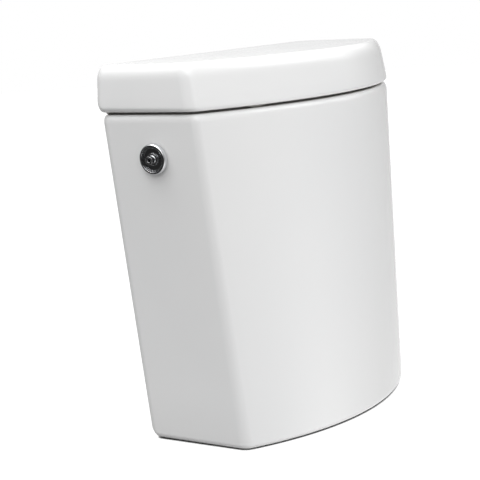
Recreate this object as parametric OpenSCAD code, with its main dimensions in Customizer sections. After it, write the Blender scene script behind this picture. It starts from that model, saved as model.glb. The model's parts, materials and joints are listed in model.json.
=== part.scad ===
// Ceramic toilet cistern with a side flush spindle, a drop flush valve and a float fill valve
// Millimetres, Z up, the bowed front faces -Y, the flush spindle is on the -X side
// The origin is on the flush outlet's axis, at the level that the standing rim rests on

/* [Tank] */
// Height from the standing rim to the top of the wall
tank_height = 335; // [325:1:345]
// Width across the side walls at the standing rim
base_width = 328; // [320:1:336]
// Width across the side walls at the top
top_width = 382; // [374:1:390]
// Back wall's distance behind the outlet axis at the standing rim
back_base = 81.5; // [79:0.5:86]
// Back wall's distance behind the outlet axis at the top
back_top = 94.5; // [91:0.5:98]
// Front corner's distance in front of the outlet axis at the standing rim
corner_base = 38; // [35:0.5:41]
// Front corner's distance in front of the outlet axis at the top
corner_top = 21; // [18:0.5:24]
// Angle that the bowed front makes with the width at its ends
bow_angle = 30; // [27:1:33]
// Radius of the two front corners at the standing rim
front_corner_r = 15; // [13:0.5:19]
// Radius of the two front corners at the top
front_corner_top_r = 11; // [10:0.5:15]
// Radius of the two back corners
back_corner_r = 12; // [11:0.5:15]
// Radius of the edge round the standing rim
base_edge_r = 6; // [4:0.5:9]
// How far in the rounded shoulder under the lid reaches
shoulder_r = 5; // [3:0.5:6]
// How far down the rounded shoulder under the lid reaches
shoulder_drop = 8.5; // [5:0.5:10]
// Wall thickness of the ceramic
wall = 10; // [9:0.5:11]
// Height of the hollow under the floor
recess_height = 36; // [34:1:40]
// Width of ceramic round the hollow under the floor
skirt = 18; // [16:0.5:20]

/* [Lid] */
// Height of the lid above its seat
lid_height = 47.4; // [44:0.1:50]
// How far the lid overhangs the side walls
lid_side_over = 2.8; // [2:0.1:5]
// How far the lid overhangs the back wall
lid_back_over = 4.2; // [3:0.1:6]
// How far the lid's front leans back over its height
lid_front_draft = 8.1; // [5:0.1:9]
// How far the lid's sides and back lean in over their height
lid_side_draft = 2.2; // [1:0.1:4]
// Radius of the lid's two front corners
lid_corner_r = 18; // [15:0.5:21]
// How far in the lid's rounded top edge reaches
lid_top_r = 7; // [5:0.1:9]
// How far down the lid's rounded top edge reaches
lid_top_drop = 15; // [10:0.5:18]
// How far in the lid's rounded bottom edge reaches
lid_edge_r = 8; // [6:0.1:8.5]
// How far up the lid's rounded bottom edge reaches
lid_edge_rise = 11; // [8:0.5:13]
// Rise of the lid's top towards its middle
lid_crown = 2; // [1:0.5:3]

/* [Flush spindle] */
// Distance of the spindle below the top of the wall
spindle_drop = 43.2; // [40:0.1:46]
// Distance of the spindle behind the outlet axis
spindle_back = 30.7; // [28:0.1:33]
// Radius of the spindle
spindle_r = 4; // [3.5:0.1:4.5]
// Radius of the dished bush at the wall
bush_r = 15.5; // [15:0.5:18]
// Height of the dished bush's rim above its washer
bush_rim = 5; // [4:0.5:6]
// Radius of the bush's shank
shank_r = 8; // [7:0.5:9]
// Length of the crank arm
crank_length = 34; // [32:0.5:36]
// Angle that the spindle turns through
spindle_swing = 45; // [36:1:48]

/* [Flush valve] */
// Radius of the outlet tail over its thread
outlet_r = 29.8; // [28:0.1:31]
// Radius of the waterway
outlet_bore_r = 25; // [23:0.5:26]
// Radius of the overflow tube
overflow_r = 16; // [14:0.5:17]
// Level of the overflow above the standing rim
overflow_level = 246; // [236:1:252]

/* [Fill valve] */
// Distance of the fill valve from the right side wall at the standing rim
fill_right = 46; // [43:1:49]
// Distance of the fill valve behind the outlet axis
fill_back = 10; // [6:0.5:14]
// Radius of the inlet tail over its thread
inlet_r = 10.48; // [10:0.01:11]
// Radius of the float
float_r = 30; // [27:0.5:30.5]
// Rise of the float from empty to full
float_rise = 14; // [10:0.5:14]

/* [Mounting holes] */
// Distance between the two coupling bolt holes in the floor
bolt_spacing = 150; // [146:1:154]
// Radius of the coupling bolt holes
bolt_hole_r = 6; // [5:0.5:7]
// Distance between the two wall screw holes in the back
screw_spacing = 220; // [200:1:240]
// Radius of the wall screw holes
screw_hole_r = 4.5; // [3.5:0.5:5]
// Distance of the wall screw holes below the top of the wall
screw_drop = 60; // [50:1:75]

/* [Fits] */
// Gap between pieces that are tightened on each other
seat_gap = 0.1; // [0.05:0.05:0.15]
// Gap between pieces that slide past each other
slide_gap = 0.5; // [0.4:0.1:0.7]
// Gap between a piece at rest and its stop
rest_gap = 0.3; // [0.3:0.05:0.4]
// Radial gap of a shaft that turns in a hole
running_gap = 0.05; // [0.02:0.01:0.08]

/* [Hidden] */
$fn = 64;
past = 1;

// Points on each rounded part of an outline
back_steps = 5;
front_steps = 7;
bow_steps = 16;
edge_steps = 6;
least_corner_r = 4;

// Levels of the floor and of the lid's seat
floor_thickness = 10;
floor_z = recess_height + floor_thickness;
floor_fillet = 12;
recess_round = 6;
cast_draft = 1;
seat_z = tank_height + rest_gap;
rim_chamfer = 1.5;

// Lid's hollow side
lid_seat_width = 18;
lid_rib_width = 5;
lid_rib_drop = 6;
lid_roof = 12;
lid_hollow_slope = 8;
crown_reach = 60;

// Side wall's lean and the spindle's place on it
side_lean = atan((top_width - base_width) / 2 / tank_height);
spindle_z = tank_height - spindle_drop;
spindle_x = -side_half(spindle_z);
reach = -spindle_x / cos(side_lean);
washer_t = 1;
dish_floor = 2;
shank_end = 24;
inner_washer_t = 2;
bush_nut_t = 8;
bush_nut_flats = 24;
bush_rim_width = 1.2;
bush_flank = 1.8;
bush_foot = 1.2;
bush_steps = 6;
spindle_out = 10.5;
spindle_shoulder_r = 6;
spindle_shoulder_t = 1.5;
spindle_screw_r = 2;
spindle_screw_depth = 9;
clip_t = 1;
clip_groove_depth = 0.8;
clip_width = 2.5;
clip_groove_r = spindle_r - clip_groove_depth;
clip_r = spindle_r + clip_width;
hub_wall = 5;
hub_back = 22;
hub_r = spindle_r + hub_wall;
hub_start = reach - hub_back;
hub_length = 10;
crank_end_r = 5;
crank_pin_r = 2.5;
crank_pin_past = 8;
crank_pin_end = reach + crank_pin_past;
crank_screw_r = 2;
crank_screw_head_r = 3.5;
crank_screw_head_t = 2.5;
screw_slot = 1;

// Yoke on the lift stem that the crank pin lifts
half_swing = spindle_swing / 2;
yoke_slack = 0.6;
yoke_plate = 5;
yoke_web = 5.5;
pin_rest_z = spindle_z + reach * sin(side_lean) - crank_length * sin(half_swing) * cos(side_lean);
pin_near_y = spindle_back - crank_length * cos(half_swing);
pin_far_y = spindle_back - crank_length;
stem_r = 3.5;
stem_arm_t = 4;
stem_foot_h = 10;
stem_foot_below = 12;

// Flush valve's stack upwards from the floor
tail_end = 2;
flush_hole_gap = 1.7;
base_seal_t = 3;
base_seal_r = 44;
base_flange_r = 46;
base_flange_t = 5;
base_z = floor_z + base_seal_t;
seat_lip_t = 3.5;
seat_lip_h = 8.7;
seat_top_z = base_z + base_flange_t + seat_lip_h;
socket_r = 40;
socket_t = 3;
socket_h = 8;
nut_washer_t = 2;
flush_nut_t = 12;
relief_length = 1.5;
relief_depth = 0.6;
flush_nut_r = 38;
flush_nut_lug = 4;
flush_nut_lugs = 8;
flush_nut_step = 1;
plunger_seal_t = 3;
plunger_seal_r = 32.5;
plunger_flange_r = 30;
plunger_flange_t = 3;
retainer_t = 3.5;
retainer_r = 21;
overflow_wall = 2.5;
seal_z = seat_top_z + rest_gap;
cage_r = socket_r - socket_t - seat_gap;
cage_t = 3.8;
cage_ring_h = 6;
cage_leg_w = 10;
cage_deck_z = 150;
cage_deck_t = 4;
cage_collar_h = 18;
cage_collar_t = 3;
cage_vent_r = 4.5;
cage_window_gap = 6;

// Fill valve's stack upwards from the floor
fill_x = base_width / 2 - fill_right;
inlet_bore_r = 6.5;
fill_hole_gap = 0.8;
shank_seal_t = 2.5;
shank_seal_r = 17.5;
fill_flange_t = 5.5;
fill_flange_r = 18.5;
fill_nut_t = 10;
fill_nut_flats = 30;
fill_z = floor_z + shank_seal_t;
riser_r = 11;
head_z = 222;
head_r = 19;
head_h = 28;
head_flange_r = 21;
head_flange_t = 4;
diaphragm_t = 2;
diaphragm_r = 18;
cap_h = 10;
cap_skirt_h = 3;
cap_grip_r = 1.5;
cap_grips = 16;
nozzle_r = 3;
nozzle_h = 2.5;
nozzle_hole_r = 1;
cap_z = head_z + head_h + diaphragm_t;
filter_wall = 1.2;
filter_length = 20;
filter_slots = 6;
filter_slot_w = 1.6;
filter_margin = 4;
spout_r = 6.5;
spout_wall = 1.5;
spout_drop = 12;
pipe_back = 38;
pipe_bottom = 70;
socket_depth = 8;

// Float and the lever that it works
float_bottom = 108;
float_height = 58;
float_skin = 2;
float_top_t = 3;
float_stop_t = 3.7;
float_stop_r = 15;
float_sleeve_gap = 0.6;
pivot_left = 8;
pivot_up = 10;
lever_arm = 30;
lever_half_swing = asin(float_rise / 2 / lever_arm);
lever_w = 8;
lever_cheek = 1.6;
lever_tip = 3;
fork_lip = 1;
lever_t = 5;
lever_hub_r = 4.5;
lever_pad_drop = 5;
lever_pad_r = 3;
lever_slot_slack = 0.4;
lever_slot_run = 1.2;
pivot_pin_r = 1.5;
pivot_lug_t = 3;
pivot_lug_w = 9;
rod_r = 2;
rod_pin_r = 1.4;
rod_below = 12;
rod_above = 3;
rod_nut_t = 3;
rod_nut_flats = 8;
lug_w = 11;
lug_t = 4;
fork_depth = 9;
pivot_x = fill_x - pivot_left;
pivot_z = cap_z + cap_h + pivot_up;
rod_x = pivot_x - lever_arm;
rod_pin_z = pivot_z - float_rise / 2;

// Half width of the tank at a level
function side_half(z) = base_width / 2 + (top_width - base_width) / 2 * z / tank_height;

// Outline sizes of the tank at a level: half width, front corner, back, front and back corner radii
function tank_sizes(z) = [
    side_half(z),
    -corner_base + (corner_base - corner_top) * z / tank_height,
    back_base + (back_top - back_base) * z / tank_height,
    front_corner_r + (front_corner_top_r - front_corner_r) * z / tank_height,
    back_corner_r
];

// Outline sizes of the lid at a share of its height
function lid_sizes(share) = [
    top_width / 2 + lid_side_over - lid_side_draft * share,
    -corner_top + lid_front_draft * share,
    back_top + lid_back_over - lid_side_draft * share,
    lid_corner_r,
    back_corner_r
];

// The same outline moved inwards all round
function inset(sizes, by) = [
    sizes[0] - by,
    sizes[1] + by * (1 - sin(bow_angle)) / cos(bow_angle),
    sizes[2] - by,
    max(sizes[3] - by, least_corner_r),
    max(sizes[4] - by, least_corner_r)
];

function arc(centre, radius, from, to, steps) = [
    for (k = [0 : steps])
        let (angle = from + (to - from) * k / steps)
        [centre[0] + radius * cos(angle), centre[1] + radius * sin(angle)]
];

// Points round an outline: back left corner, front left corner, bow, front right and back right corner
function outline(sizes) =
    let (
        half = sizes[0],
        front_r = sizes[3],
        back_r = sizes[4],
        turn = 90 - bow_angle,
        front_y = sizes[1] + front_r * tan(turn / 2),
        bow_x = half - front_r + front_r * sin(bow_angle),
        bow_r = bow_x / sin(bow_angle),
        bow_y = front_y - front_r * cos(bow_angle) + bow_r * cos(bow_angle),
        bow = arc([0, bow_y], bow_r, 270 - bow_angle, 270 + bow_angle, bow_steps)
    )
    concat(
        arc([-half + back_r, sizes[2] - back_r], back_r, 90, 180, back_steps),
        arc([-half + front_r, front_y], front_r, 180, 180 + turn, front_steps),
        [for (k = [1 : bow_steps - 1]) bow[k]],
        arc([half - front_r, front_y], front_r, 360 - turn, 360, front_steps),
        arc([half - back_r, sizes[2] - back_r], back_r, 0, 90, back_steps)
    );

function ring(sizes, z) = [for (p = outline(sizes)) [p[0], p[1], z]];

// Closed solid through a row of rings, from its lower inner cap out and round to its upper cap
module loft(rings) {
    count = len(rings[0]);
    last = (len(rings) - 1) * count;
    points = [for (r = rings) for (p = r) p];
    sides = [
        for (k = [0 : len(rings) - 2])
            for (i = [0 : count - 1])
                let (a = k * count + i, b = k * count + (i + 1) % count)
                each [[a, b + count, b], [a, a + count, b + count]]
    ];
    first_cap = [for (i = [0 : count - 1]) i];
    last_cap = [for (i = [0 : count - 1]) last + count - 1 - i];
    polyhedron(points, concat([first_cap], sides, [last_cap]));
}

// Quarter of an ellipse in steps: how far along its first axis and how far in on its second
function rounding(along, across) = [
    for (k = [1 : edge_steps])
        let (angle = 90 * k / edge_steps)
        [along * sin(angle), across * (1 - cos(angle))]
];

// Moves its children onto the left side wall: local Z runs inwards along the spindle, local X runs down
module on_side() {
    translate([spindle_x, spindle_back, spindle_z])
        rotate([0, 90 - side_lean, 0])
            children();
}

// Moves its children to the fill valve's axis
module at_fill() {
    translate([fill_x, fill_back, 0])
        children();
}

module pipe(outer, inner, height) {
    difference() {
        cylinder(r = outer, h = height);
        translate([0, 0, -past])
            cylinder(r = inner, h = height + 2 * past);
    }
}

module hex(flats, height) {
    cylinder(r = flats / 2 / cos(30), h = height, $fn = 6);
}

// Ceramic tank
module tank() {
    edge = rounding(base_edge_r, base_edge_r);
    shoulder = rounding(shoulder_drop, shoulder_r);
    fillet = rounding(floor_fillet, floor_fillet);
    recess_spring = recess_height - recess_round;
    rings = concat(
        [
            ring(inset(tank_sizes(recess_height), skirt + recess_round), recess_height),
            ring(inset(tank_sizes(recess_spring), skirt + cast_draft), recess_spring),
            ring(inset(tank_sizes(0), skirt), 0),
            ring(inset(tank_sizes(0), base_edge_r), 0)
        ],
        [for (s = edge) ring(inset(tank_sizes(s[1]), base_edge_r - s[0]), s[1])],
        [for (share = [0.35, 0.7]) ring(tank_sizes(tank_height * share), tank_height * share)],
        [ring(tank_sizes(tank_height - shoulder_drop), tank_height - shoulder_drop)],
        [
            for (s = shoulder)
                let (z = tank_height - shoulder_drop + s[0])
                ring(inset(tank_sizes(z), s[1]), z)
        ],
        [
            ring(inset(tank_sizes(tank_height), wall - rim_chamfer), tank_height),
            ring(inset(tank_sizes(tank_height), wall), tank_height - rim_chamfer)
        ],
        [for (share = [0.7, 0.35]) ring(inset(tank_sizes(tank_height * share), wall), tank_height * share)],
        [ring(inset(tank_sizes(floor_z + floor_fillet), wall), floor_z + floor_fillet)],
        [
            for (s = fillet)
                ring(inset(tank_sizes(floor_z), wall + s[1]), floor_z + floor_fillet - s[0])
        ]
    );
    color("white")
        difference() {
            loft(rings);
            translate([0, 0, recess_height - past])
                cylinder(r = outlet_r + flush_hole_gap, h = floor_thickness + 2 * past);
            at_fill()
                translate([0, 0, recess_height - past])
                    cylinder(r = inlet_r + fill_hole_gap, h = floor_thickness + 2 * past);
            for (side = [-1, 1]) {
                translate([side * bolt_spacing / 2, 0, recess_height - past])
                    cylinder(r = bolt_hole_r, h = floor_thickness + 2 * past);
                translate([side * screw_spacing / 2, back_base - wall, tank_height - screw_drop])
                    rotate([-90, 0, 0])
                        cylinder(r = screw_hole_r, h = back_top - back_base + 2 * wall);
            }
            on_side()
                translate([0, 0, -wall])
                    cylinder(r = shank_r + slide_gap, h = 3 * wall);
        }
}

// Ceramic lid
module lid() {
    edge = rounding(lid_edge_r, lid_edge_rise);
    top = rounding(lid_top_drop, lid_top_r);
    hollow_z = seat_z + lid_height - lid_roof;
    rib_in = lid_seat_width + lid_rib_width;
    top_z = seat_z + lid_height;
    rings = concat(
        [
            ring(inset(lid_sizes(1), rib_in + lid_hollow_slope), hollow_z),
            ring(inset(lid_sizes(0.5), rib_in + cast_draft), hollow_z - lid_hollow_slope),
            ring(inset(lid_sizes(0), rib_in), seat_z - lid_rib_drop),
            ring(inset(lid_sizes(0), lid_seat_width), seat_z - lid_rib_drop),
            ring(inset(lid_sizes(0), lid_seat_width - cast_draft), seat_z),
            ring(inset(lid_sizes(0), lid_edge_r), seat_z)
        ],
        [
            for (s = edge)
                ring(inset(lid_sizes(s[1] / lid_height), lid_edge_r - s[0]), seat_z + s[1])
        ],
        [ring(lid_sizes(1 - lid_top_drop / lid_height), top_z - lid_top_drop)],
        [
            for (s = top)
                let (below = lid_top_drop - s[0])
                ring(inset(lid_sizes(1 - below / lid_height), s[1]), top_z - below)
        ],
        [
            for (share = [0.25, 0.5, 0.75])
                let (in = lid_top_r + share * crown_reach)
                ring(inset(lid_sizes(1), in), top_z + lid_crown * (1 - pow(1 - share, 2)))
        ]
    );
    color("white")
        loft(rings);
}

// Dished bush that carries the spindle through the side wall
module lever_bush() {
    rim_r = bush_r - bush_flank;
    dish_r = rim_r - bush_rim_width;
    dish_depth = bush_rim - dish_floor;
    bowl = [
        for (k = [0 : bush_steps])
            let (share = k / bush_steps)
            [
                dish_r - (dish_r - spindle_shoulder_r - 1) * share,
                -washer_t - bush_rim + dish_depth * sin(90 * share)
            ]
    ];
    flank = [
        for (k = [0 : bush_steps])
            let (angle = 90 * k / bush_steps)
            [
                rim_r + bush_flank * cos(angle),
                -washer_t - bush_foot - (bush_rim - bush_foot) * sin(angle)
            ]
    ];
    color("silver")
        on_side()
            rotate_extrude()
                polygon(concat(
                    [[spindle_r + running_gap, shank_end], [shank_r, shank_end]],
                    [[shank_r, -washer_t], [bush_r, -washer_t]],
                    flank,
                    bowl,
                    [[spindle_r + running_gap, -washer_t - dish_floor]]
                ));
}

// Rubber washer between the bush and the ceramic
module bush_outer_washer() {
    color("dimgray")
        on_side()
            translate([0, 0, -washer_t])
                pipe(bush_r - 1, shank_r + seat_gap, washer_t);
}

// Rubber washer inside the wall
module bush_inner_washer() {
    color("dimgray")
        on_side()
            translate([0, 0, wall * cos(side_lean)])
                pipe(bush_r - 1, shank_r + seat_gap, inner_washer_t);
}

// Nut that pulls the bush tight
module bush_nut() {
    color("gold")
        on_side()
            translate([0, 0, wall * cos(side_lean) + inner_washer_t])
                difference() {
                    hex(bush_nut_flats, bush_nut_t);
                    translate([0, 0, -past])
                        cylinder(r = shank_r + seat_gap, h = bush_nut_t + 2 * past);
                }
}

// Spindle with a shoulder outside, a clip groove inside and a screw hole in its end for a handle
module lever_spindle() {
    shoulder_z = -washer_t - dish_floor - rest_gap - spindle_shoulder_t;
    color("lightgray")
        on_side()
            difference() {
                union() {
                    translate([0, 0, -spindle_out])
                        cylinder(r = spindle_r, h = spindle_out + hub_start + hub_length);
                    translate([0, 0, shoulder_z])
                        cylinder(r = spindle_shoulder_r, h = spindle_shoulder_t);
                }
                translate([0, 0, -spindle_out - past])
                    cylinder(r = spindle_screw_r, h = spindle_screw_depth + past);
                translate([0, 0, shank_end + rest_gap])
                    pipe(spindle_r + past, clip_groove_r, clip_t);
            }
}

// Spring clip that holds the spindle in the bush
module spindle_clip() {
    color("gray")
        on_side()
            translate([0, 0, shank_end + rest_gap])
                difference() {
                    pipe(clip_r, clip_groove_r + running_gap, clip_t);
                    translate([0, -clip_groove_r, -past])
                        cube([clip_r + past, 2 * clip_groove_r, clip_t + 2 * past]);
                }
}

// Crank arm and its pin, at rest half the swing below level
module crank_arm() {
    color("lightgray")
        on_side()
            rotate([0, 0, half_swing])
                difference() {
                    union() {
                        translate([0, 0, hub_start])
                            cylinder(r = hub_r, h = hub_length);
                        translate([-crank_end_r, -crank_length, hub_start])
                            cube([2 * crank_end_r, crank_length, hub_length]);
                        translate([0, -crank_length, hub_start])
                            cylinder(r = crank_end_r, h = hub_length);
                        translate([0, -crank_length, hub_start])
                            cylinder(r = crank_pin_r, h = crank_pin_end - hub_start);
                    }
                    translate([0, 0, hub_start - past])
                        cylinder(r = spindle_r + seat_gap, h = hub_length + 2 * past);
                    translate([0, 0, hub_start + hub_length / 2])
                        rotate([-90, 0, 0])
                            cylinder(r = crank_screw_r + seat_gap, h = hub_r + past);
                }
}

// Screw that clamps the crank arm on the spindle
module crank_screw() {
    slot_reach = crank_screw_head_r + past;
    slot_z = hub_r + crank_screw_head_t - screw_slot;
    color("gray")
        on_side()
            rotate([0, 0, half_swing])
                translate([0, 0, hub_start + hub_length / 2])
                    rotate([-90, 0, 0])
                        difference() {
                            union() {
                                translate([0, 0, spindle_r + seat_gap])
                                    cylinder(r = crank_screw_r, h = hub_r - spindle_r);
                                translate([0, 0, hub_r + seat_gap])
                                    cylinder(r = crank_screw_head_r, h = crank_screw_head_t);
                            }
                            translate([-slot_reach, -screw_slot / 2, slot_z])
                                cube([2 * slot_reach, screw_slot, screw_slot + past]);
                        }
}

// Flush valve's body: threaded tail, flange, valve seat and the socket that holds the cage
module flush_valve_base() {
    color("whitesmoke")
        difference() {
            union() {
                translate([0, 0, tail_end])
                    cylinder(r = outlet_r, h = base_z - tail_end);
                translate([0, 0, base_z])
                    cylinder(r = base_flange_r, h = base_flange_t);
                translate([0, 0, base_z + base_flange_t])
                    pipe(outlet_bore_r + seat_lip_t, outlet_bore_r, seat_lip_h);
                translate([0, 0, base_z + base_flange_t])
                    pipe(socket_r, socket_r - socket_t, socket_h);
            }
            translate([0, 0, tail_end - past])
                cylinder(r = outlet_bore_r, h = seat_top_z - tail_end + 2 * past);
            translate([0, 0, recess_height - nut_washer_t - flush_nut_t - relief_length])
                pipe(outlet_r + past, outlet_r - relief_depth, relief_length);
        }
}

// Rubber washer under the flush valve's flange
module flush_base_seal() {
    color("dimgray")
        translate([0, 0, floor_z])
            pipe(base_seal_r, outlet_r + seat_gap, base_seal_t);
}

// Plastic washer between the back nut and the ceramic
module flush_nut_washer() {
    color("gainsboro")
        translate([0, 0, recess_height - nut_washer_t])
            pipe(flush_nut_r + flush_nut_lug, outlet_r + seat_gap, nut_washer_t);
}

// Back nut with lugs round it
module flush_back_nut() {
    lug_h = flush_nut_t - 2 * flush_nut_step;
    color("gainsboro")
        translate([0, 0, recess_height - nut_washer_t - flush_nut_t])
            difference() {
                union() {
                    cylinder(r = flush_nut_r, h = flush_nut_t);
                    for (k = [0 : flush_nut_lugs - 1])
                        rotate([0, 0, 360 * k / flush_nut_lugs])
                            translate([flush_nut_r - flush_nut_lug, -flush_nut_lug, flush_nut_step])
                                cube([2 * flush_nut_lug, 2 * flush_nut_lug, lug_h]);
                }
                translate([0, 0, -past])
                    cylinder(r = outlet_r + seat_gap, h = flush_nut_t + 2 * past);
            }
}

// Cage that guides the overflow tube above the valve seat
module flush_cage() {
    ring_z = base_z + base_flange_t + seat_gap;
    guide_r = overflow_r + slide_gap;
    deck_top = cage_deck_z + cage_deck_t;
    window_w = 2 * cage_r * sin(45 - asin(cage_leg_w / 2 / cage_r));
    window_z = ring_z + cage_ring_h;
    vents = 8;
    color("lightsteelblue")
        difference() {
            rotate_extrude()
                polygon([
                    [cage_r - cage_t, ring_z],
                    [cage_r, ring_z],
                    [cage_r, deck_top],
                    [guide_r + cage_collar_t, deck_top],
                    [guide_r + cage_collar_t, cage_deck_z + cage_collar_h],
                    [guide_r, cage_deck_z + cage_collar_h],
                    [guide_r, cage_deck_z],
                    [cage_r - cage_t, cage_deck_z]
                ]);
            for (turn = [0, 90])
                rotate([0, 0, turn])
                    translate([-cage_r - past, -window_w / 2, window_z])
                        cube([2 * (cage_r + past), window_w, cage_deck_z - cage_window_gap - window_z]);
            for (k = [0 : vents - 1])
                rotate([0, 0, 360 * k / vents])
                    translate([(cage_r - cage_t + guide_r + cage_collar_t) / 2, 0, cage_deck_z - past])
                        cylinder(r = cage_vent_r, h = cage_deck_t + 2 * past);
        }
}

// Overflow tube that is also the plunger of the flush valve
module overflow_tube() {
    color("whitesmoke")
        difference() {
            union() {
                translate([0, 0, seal_z - retainer_t])
                    cylinder(r = overflow_r, h = overflow_level - seal_z + retainer_t);
                translate([0, 0, seal_z + plunger_seal_t])
                    cylinder(r = plunger_flange_r, h = plunger_flange_t);
            }
            translate([0, 0, seal_z - retainer_t - past])
                cylinder(r = overflow_r - overflow_wall, h = overflow_level);
        }
}

// Rubber seal that closes the valve seat
module plunger_seal() {
    color("firebrick")
        translate([0, 0, seal_z])
            pipe(plunger_seal_r, overflow_r + seat_gap, plunger_seal_t);
}

// Ring that holds the seal on the tube
module seal_retainer() {
    color("whitesmoke")
        translate([0, 0, seal_z - retainer_t])
            pipe(retainer_r, overflow_r + seat_gap, retainer_t);
}

// Stem from the overflow tube up to the yoke that the crank pin lifts
module lift_stem() {
    foot_z = overflow_level - stem_foot_below;
    foot_r = overflow_r - overflow_wall - seat_gap;
    slot_h = 2 * (crank_pin_r + yoke_slack);
    slot_y = pin_far_y - crank_pin_r - yoke_slack;
    slot_w = pin_near_y - pin_far_y + 2 * (crank_pin_r + yoke_slack);
    color("lightsteelblue")
        union() {
            intersection() {
                translate([0, 0, foot_z])
                    cylinder(r = foot_r, h = stem_foot_h);
                union() {
                    translate([-foot_r, -stem_arm_t / 2, foot_z])
                        cube([2 * foot_r, stem_arm_t, stem_foot_h]);
                    translate([-stem_arm_t / 2, -foot_r, foot_z])
                        cube([stem_arm_t, 2 * foot_r, stem_foot_h]);
                }
            }
            translate([0, 0, foot_z])
                cylinder(r = stem_r, h = pin_rest_z - slot_h / 2 - yoke_web / 2 - foot_z);
            difference() {
                translate([-yoke_plate / 2, slot_y - yoke_web, pin_rest_z - slot_h / 2 - yoke_web])
                    cube([yoke_plate, slot_w + 2 * yoke_web, slot_h + 2 * yoke_web]);
                translate([-yoke_plate / 2 - past, slot_y, pin_rest_z - slot_h / 2])
                    cube([yoke_plate + 2 * past, slot_w, slot_h]);
            }
        }
}

// Fill valve's body: threaded inlet tail, flange and riser
module fill_valve_body() {
    color("whitesmoke")
        at_fill()
            difference() {
                union() {
                    translate([0, 0, tail_end])
                        cylinder(r = inlet_r, h = fill_z - tail_end);
                    translate([0, 0, fill_z])
                        cylinder(r = fill_flange_r, h = fill_flange_t);
                    translate([0, 0, fill_z])
                        cylinder(r = riser_r, h = head_z - fill_z);
                }
                translate([0, 0, tail_end - past])
                    cylinder(r = inlet_bore_r, h = head_z - tail_end + 2 * past);
                translate([0, 0, recess_height - fill_nut_t - relief_length])
                    pipe(inlet_r + past, inlet_r - relief_depth, relief_length);
            }
}

// Rubber washer under the fill valve's flange
module fill_shank_seal() {
    color("dimgray")
        at_fill()
            translate([0, 0, floor_z])
                pipe(shank_seal_r, inlet_r + seat_gap, shank_seal_t);
}

// Nut that pulls the fill valve down on the floor
module fill_back_nut() {
    color("gainsboro")
        at_fill()
            translate([0, 0, recess_height - fill_nut_t])
                difference() {
                    hex(fill_nut_flats, fill_nut_t);
                    translate([0, 0, -past])
                        cylinder(r = inlet_r + seat_gap, h = fill_nut_t + 2 * past);
                }
}

// Strainer pushed into the inlet tail
module inlet_filter() {
    filter_r = inlet_bore_r - seat_gap;
    color("gainsboro")
        at_fill()
            translate([0, 0, tail_end + past])
                difference() {
                    cylinder(r = filter_r, h = filter_length);
                    translate([0, 0, -past])
                        cylinder(r = filter_r - filter_wall, h = filter_length - filter_wall + past);
                    for (k = [0 : filter_slots - 1])
                        rotate([0, 0, 360 * k / filter_slots])
                            translate([0, -filter_slot_w / 2, filter_margin])
                                cube([inlet_bore_r, filter_slot_w, filter_length - 2 * filter_margin]);
                }
}

// Valve head on the riser, with the spout that feeds the discharge pipe
module fill_valve_head() {
    spout_z = head_z + spout_drop;
    pipe_socket_r = spout_r + spout_wall + seat_gap;
    pipe_socket_h = socket_depth + 2 * spout_r + spout_wall;
    color("whitesmoke")
        at_fill()
            difference() {
                union() {
                    translate([0, 0, head_z])
                        cylinder(r = head_r, h = head_h);
                    translate([0, 0, head_z + head_h - head_flange_t])
                        cylinder(r = head_flange_r, h = head_flange_t);
                    translate([0, 0, spout_z])
                        rotate([-90, 0, 0])
                            cylinder(r = spout_r, h = pipe_back);
                    translate([0, pipe_back, spout_z - spout_r - socket_depth])
                        cylinder(r = pipe_socket_r, h = pipe_socket_h);
                }
                translate([0, 0, head_z - past])
                    cylinder(r = inlet_bore_r, h = head_h + 2 * past);
                translate([0, 0, spout_z])
                    rotate([-90, 0, 0])
                        cylinder(r = spout_r - 2 * spout_wall, h = pipe_back);
                translate([0, pipe_back, spout_z - spout_r - socket_depth - past])
                    cylinder(r = spout_r + seat_gap, h = socket_depth + past);
                translate([0, pipe_back, spout_z - spout_r - past])
                    cylinder(r = spout_r - spout_wall, h = 2 * spout_r);
            }
}

// Rubber diaphragm between the head and its cap
module diaphragm() {
    color("dimgray")
        at_fill()
            translate([0, 0, head_z + head_h])
                cylinder(r = diaphragm_r, h = diaphragm_t);
}

// Screw cap with the pilot nozzle and the lugs for the lever's pin
module valve_cap() {
    lug_y = lever_w / 2 + slide_gap;
    lug_h = pivot_up + lever_hub_r;
    color("steelblue")
        at_fill()
            translate([0, 0, cap_z])
                difference() {
                    union() {
                        cylinder(r = head_flange_r, h = cap_h);
                        translate([0, 0, -diaphragm_t])
                            pipe(head_flange_r, diaphragm_r + seat_gap, diaphragm_t + past);
                        for (k = [0 : cap_grips - 1])
                            rotate([0, 0, 360 * k / cap_grips])
                                translate([head_flange_r, 0, 0])
                                    cylinder(r = cap_grip_r, h = cap_h - cap_skirt_h);
                        translate([0, 0, cap_h])
                            cylinder(r = nozzle_r, h = nozzle_h);
                        for (side = [0, 1])
                            mirror([0, side, 0])
                                translate([-pivot_left - pivot_lug_w / 2, lug_y, cap_h - past])
                                    cube([pivot_lug_w, pivot_lug_t, lug_h + past]);
                    }
                    translate([0, 0, -past])
                        cylinder(r = nozzle_hole_r, h = cap_h + nozzle_h + 2 * past);
                    translate([-pivot_left, -head_r, cap_h + pivot_up])
                        rotate([-90, 0, 0])
                            cylinder(r = pivot_pin_r + running_gap, h = 2 * head_r);
                }
}

// Pipe that leads the water down quietly
module discharge_pipe() {
    top = head_z + spout_drop - spout_r;
    color("gainsboro")
        at_fill()
            translate([0, pipe_back, pipe_bottom])
                pipe(spout_r, spout_r - spout_wall, top - pipe_bottom);
}

// Ring on the riser that the float rests on
module float_stop() {
    color("gainsboro")
        at_fill()
            translate([0, 0, float_bottom - rest_gap - float_stop_t])
                pipe(float_stop_r, riser_r + seat_gap, float_stop_t);
}

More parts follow.
